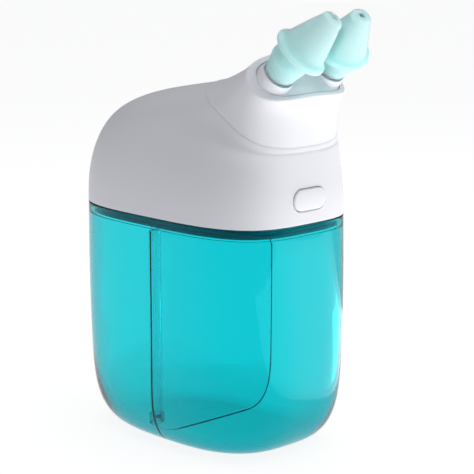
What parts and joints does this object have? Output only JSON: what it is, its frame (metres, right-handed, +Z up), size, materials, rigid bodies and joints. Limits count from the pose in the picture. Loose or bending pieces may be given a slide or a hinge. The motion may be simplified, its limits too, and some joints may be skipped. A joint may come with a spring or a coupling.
{
  "type": "nasal aspirator",
  "caption": "Powered two-nozzle nasal aspirator: white pump head on a clear teal divided water tank, soft nose pieces on a tilted platform, press button.",
  "frame": {"origin": "centre of the tank's flat underside", "axes": "+Z up out of the tank, -Y towards the button and nozzle side, +X to the user's right when facing the button side from behind"},
  "size_m": [0.0782, 0.1411, 0.1919],
  "materials": {
    "clear_teal_plastic": "clear gloss",
    "white_plastic": "satin gloss",
    "teal_silicone": "satin",
    "aqua_silicone": "translucent satin",
    "clear_silicone": "translucent",
    "black_rubber": "matt",
    "black_plastic": "matt",
    "grey_plastic": "matt",
    "acetal": "waxy",
    "green_board": "solder mask",
    "cell_sleeve": "shrink film",
    "screw_steel": "zinc plated",
    "motor_steel": "nickel plated",
    "copper_winding": "enamelled wire"
  },
  "bodies": {
    "tank": {"water_tank": "clear_teal_plastic"},
    "head": {"head_shell": "white_plastic", "head_base": "white_plastic", "tank_gasket": "teal_silicone", "base_screws": "screw_steel", "head_deck": "white_plastic", "tact_switch": "black_plastic", "button_board": "green_board", "switch_bracket": "grey_plastic", "pump_housing": "grey_plastic", "pump_cover": "grey_plastic", "pump_screws": "screw_steel", "motor_can": "motor_steel", "motor_end_cap": "black_plastic", "motor_bracket": "grey_plastic", "saline_hose": "clear_silicone", "waste_hose": "clear_silicone", "intake_hose": "clear_silicone", "intake_riser": "clear_teal_plastic", "intake_strainer": "clear_teal_plastic", "drain_valve": "clear_silicone", "battery_cell": "cell_sleeve", "battery_cradle": "grey_plastic", "main_board": "green_board", "board_screws": "screw_steel", "charging_socket": "motor_steel", "charging_board": "green_board", "charging_bracket": "grey_plastic"},
    "button": {"power_button": "white_plastic", "switch_plunger": "black_plastic"},
    "rotor": {"motor_shaft": "motor_steel", "motor_armature": "copper_winding", "drive_gear": "acetal"},
    "idler": {"idler_gear": "acetal", "idler_axle": "motor_steel"},
    "port_cover": {"port_cover": "white_plastic"},
    "dock": {"dock_shell": "white_plastic", "platform_plate": "white_plastic", "spigot_left": "white_plastic", "spigot_right": "white_plastic", "dock_seal_rings": "black_rubber"},
    "pillow_left": {"pillow_left": "aqua_silicone"},
    "pillow_right": {"pillow_right": "aqua_silicone"}
  },
  "joints": [
    {"name": "head_lift", "type": "slide", "parent": "tank", "child": "head", "axis": [0, 0, 1], "range_m": [0, 0.11]},
    {"name": "button_press", "type": "slide", "parent": "head", "child": "button", "axis": [0, 1, 0], "range_m": [0, 0.0012], "stiffness_N_per_m": 600},
    {"name": "motor_spin", "type": "hinge", "parent": "head", "child": "rotor", "pos_m": [-0.008, -0.0137, 0.118], "axis": [0, 1, 0], "continuous": true},
    {"name": "idler_spin", "type": "hinge", "parent": "head", "child": "idler", "pos_m": [0.008, -0.0137, 0.118], "axis": [0, 1, 0], "continuous": true},
    {"name": "port_cover_swing", "type": "hinge", "parent": "head", "child": "port_cover", "pos_m": [0, 0.05745, 0.11445], "axis": [1, 0, 0], "range_deg": [0, 100]},
    {"name": "dock_release", "type": "slide", "parent": "head", "child": "dock", "axis": [0, -0.7071, 0.7071], "range_m": [0, 0.04]},
    {"name": "pillow_left_pull", "type": "slide", "parent": "dock", "child": "pillow_left", "axis": [0, -0.7071, 0.7071], "range_m": [0, 0.03]},
    {"name": "pillow_right_pull", "type": "slide", "parent": "dock", "child": "pillow_right", "axis": [0, -0.7071, 0.7071], "range_m": [0, 0.03]}
  ],
  "couplings": [
    {"joint": "idler_spin", "follows": "motor_spin", "ratio": -1}
  ]
}
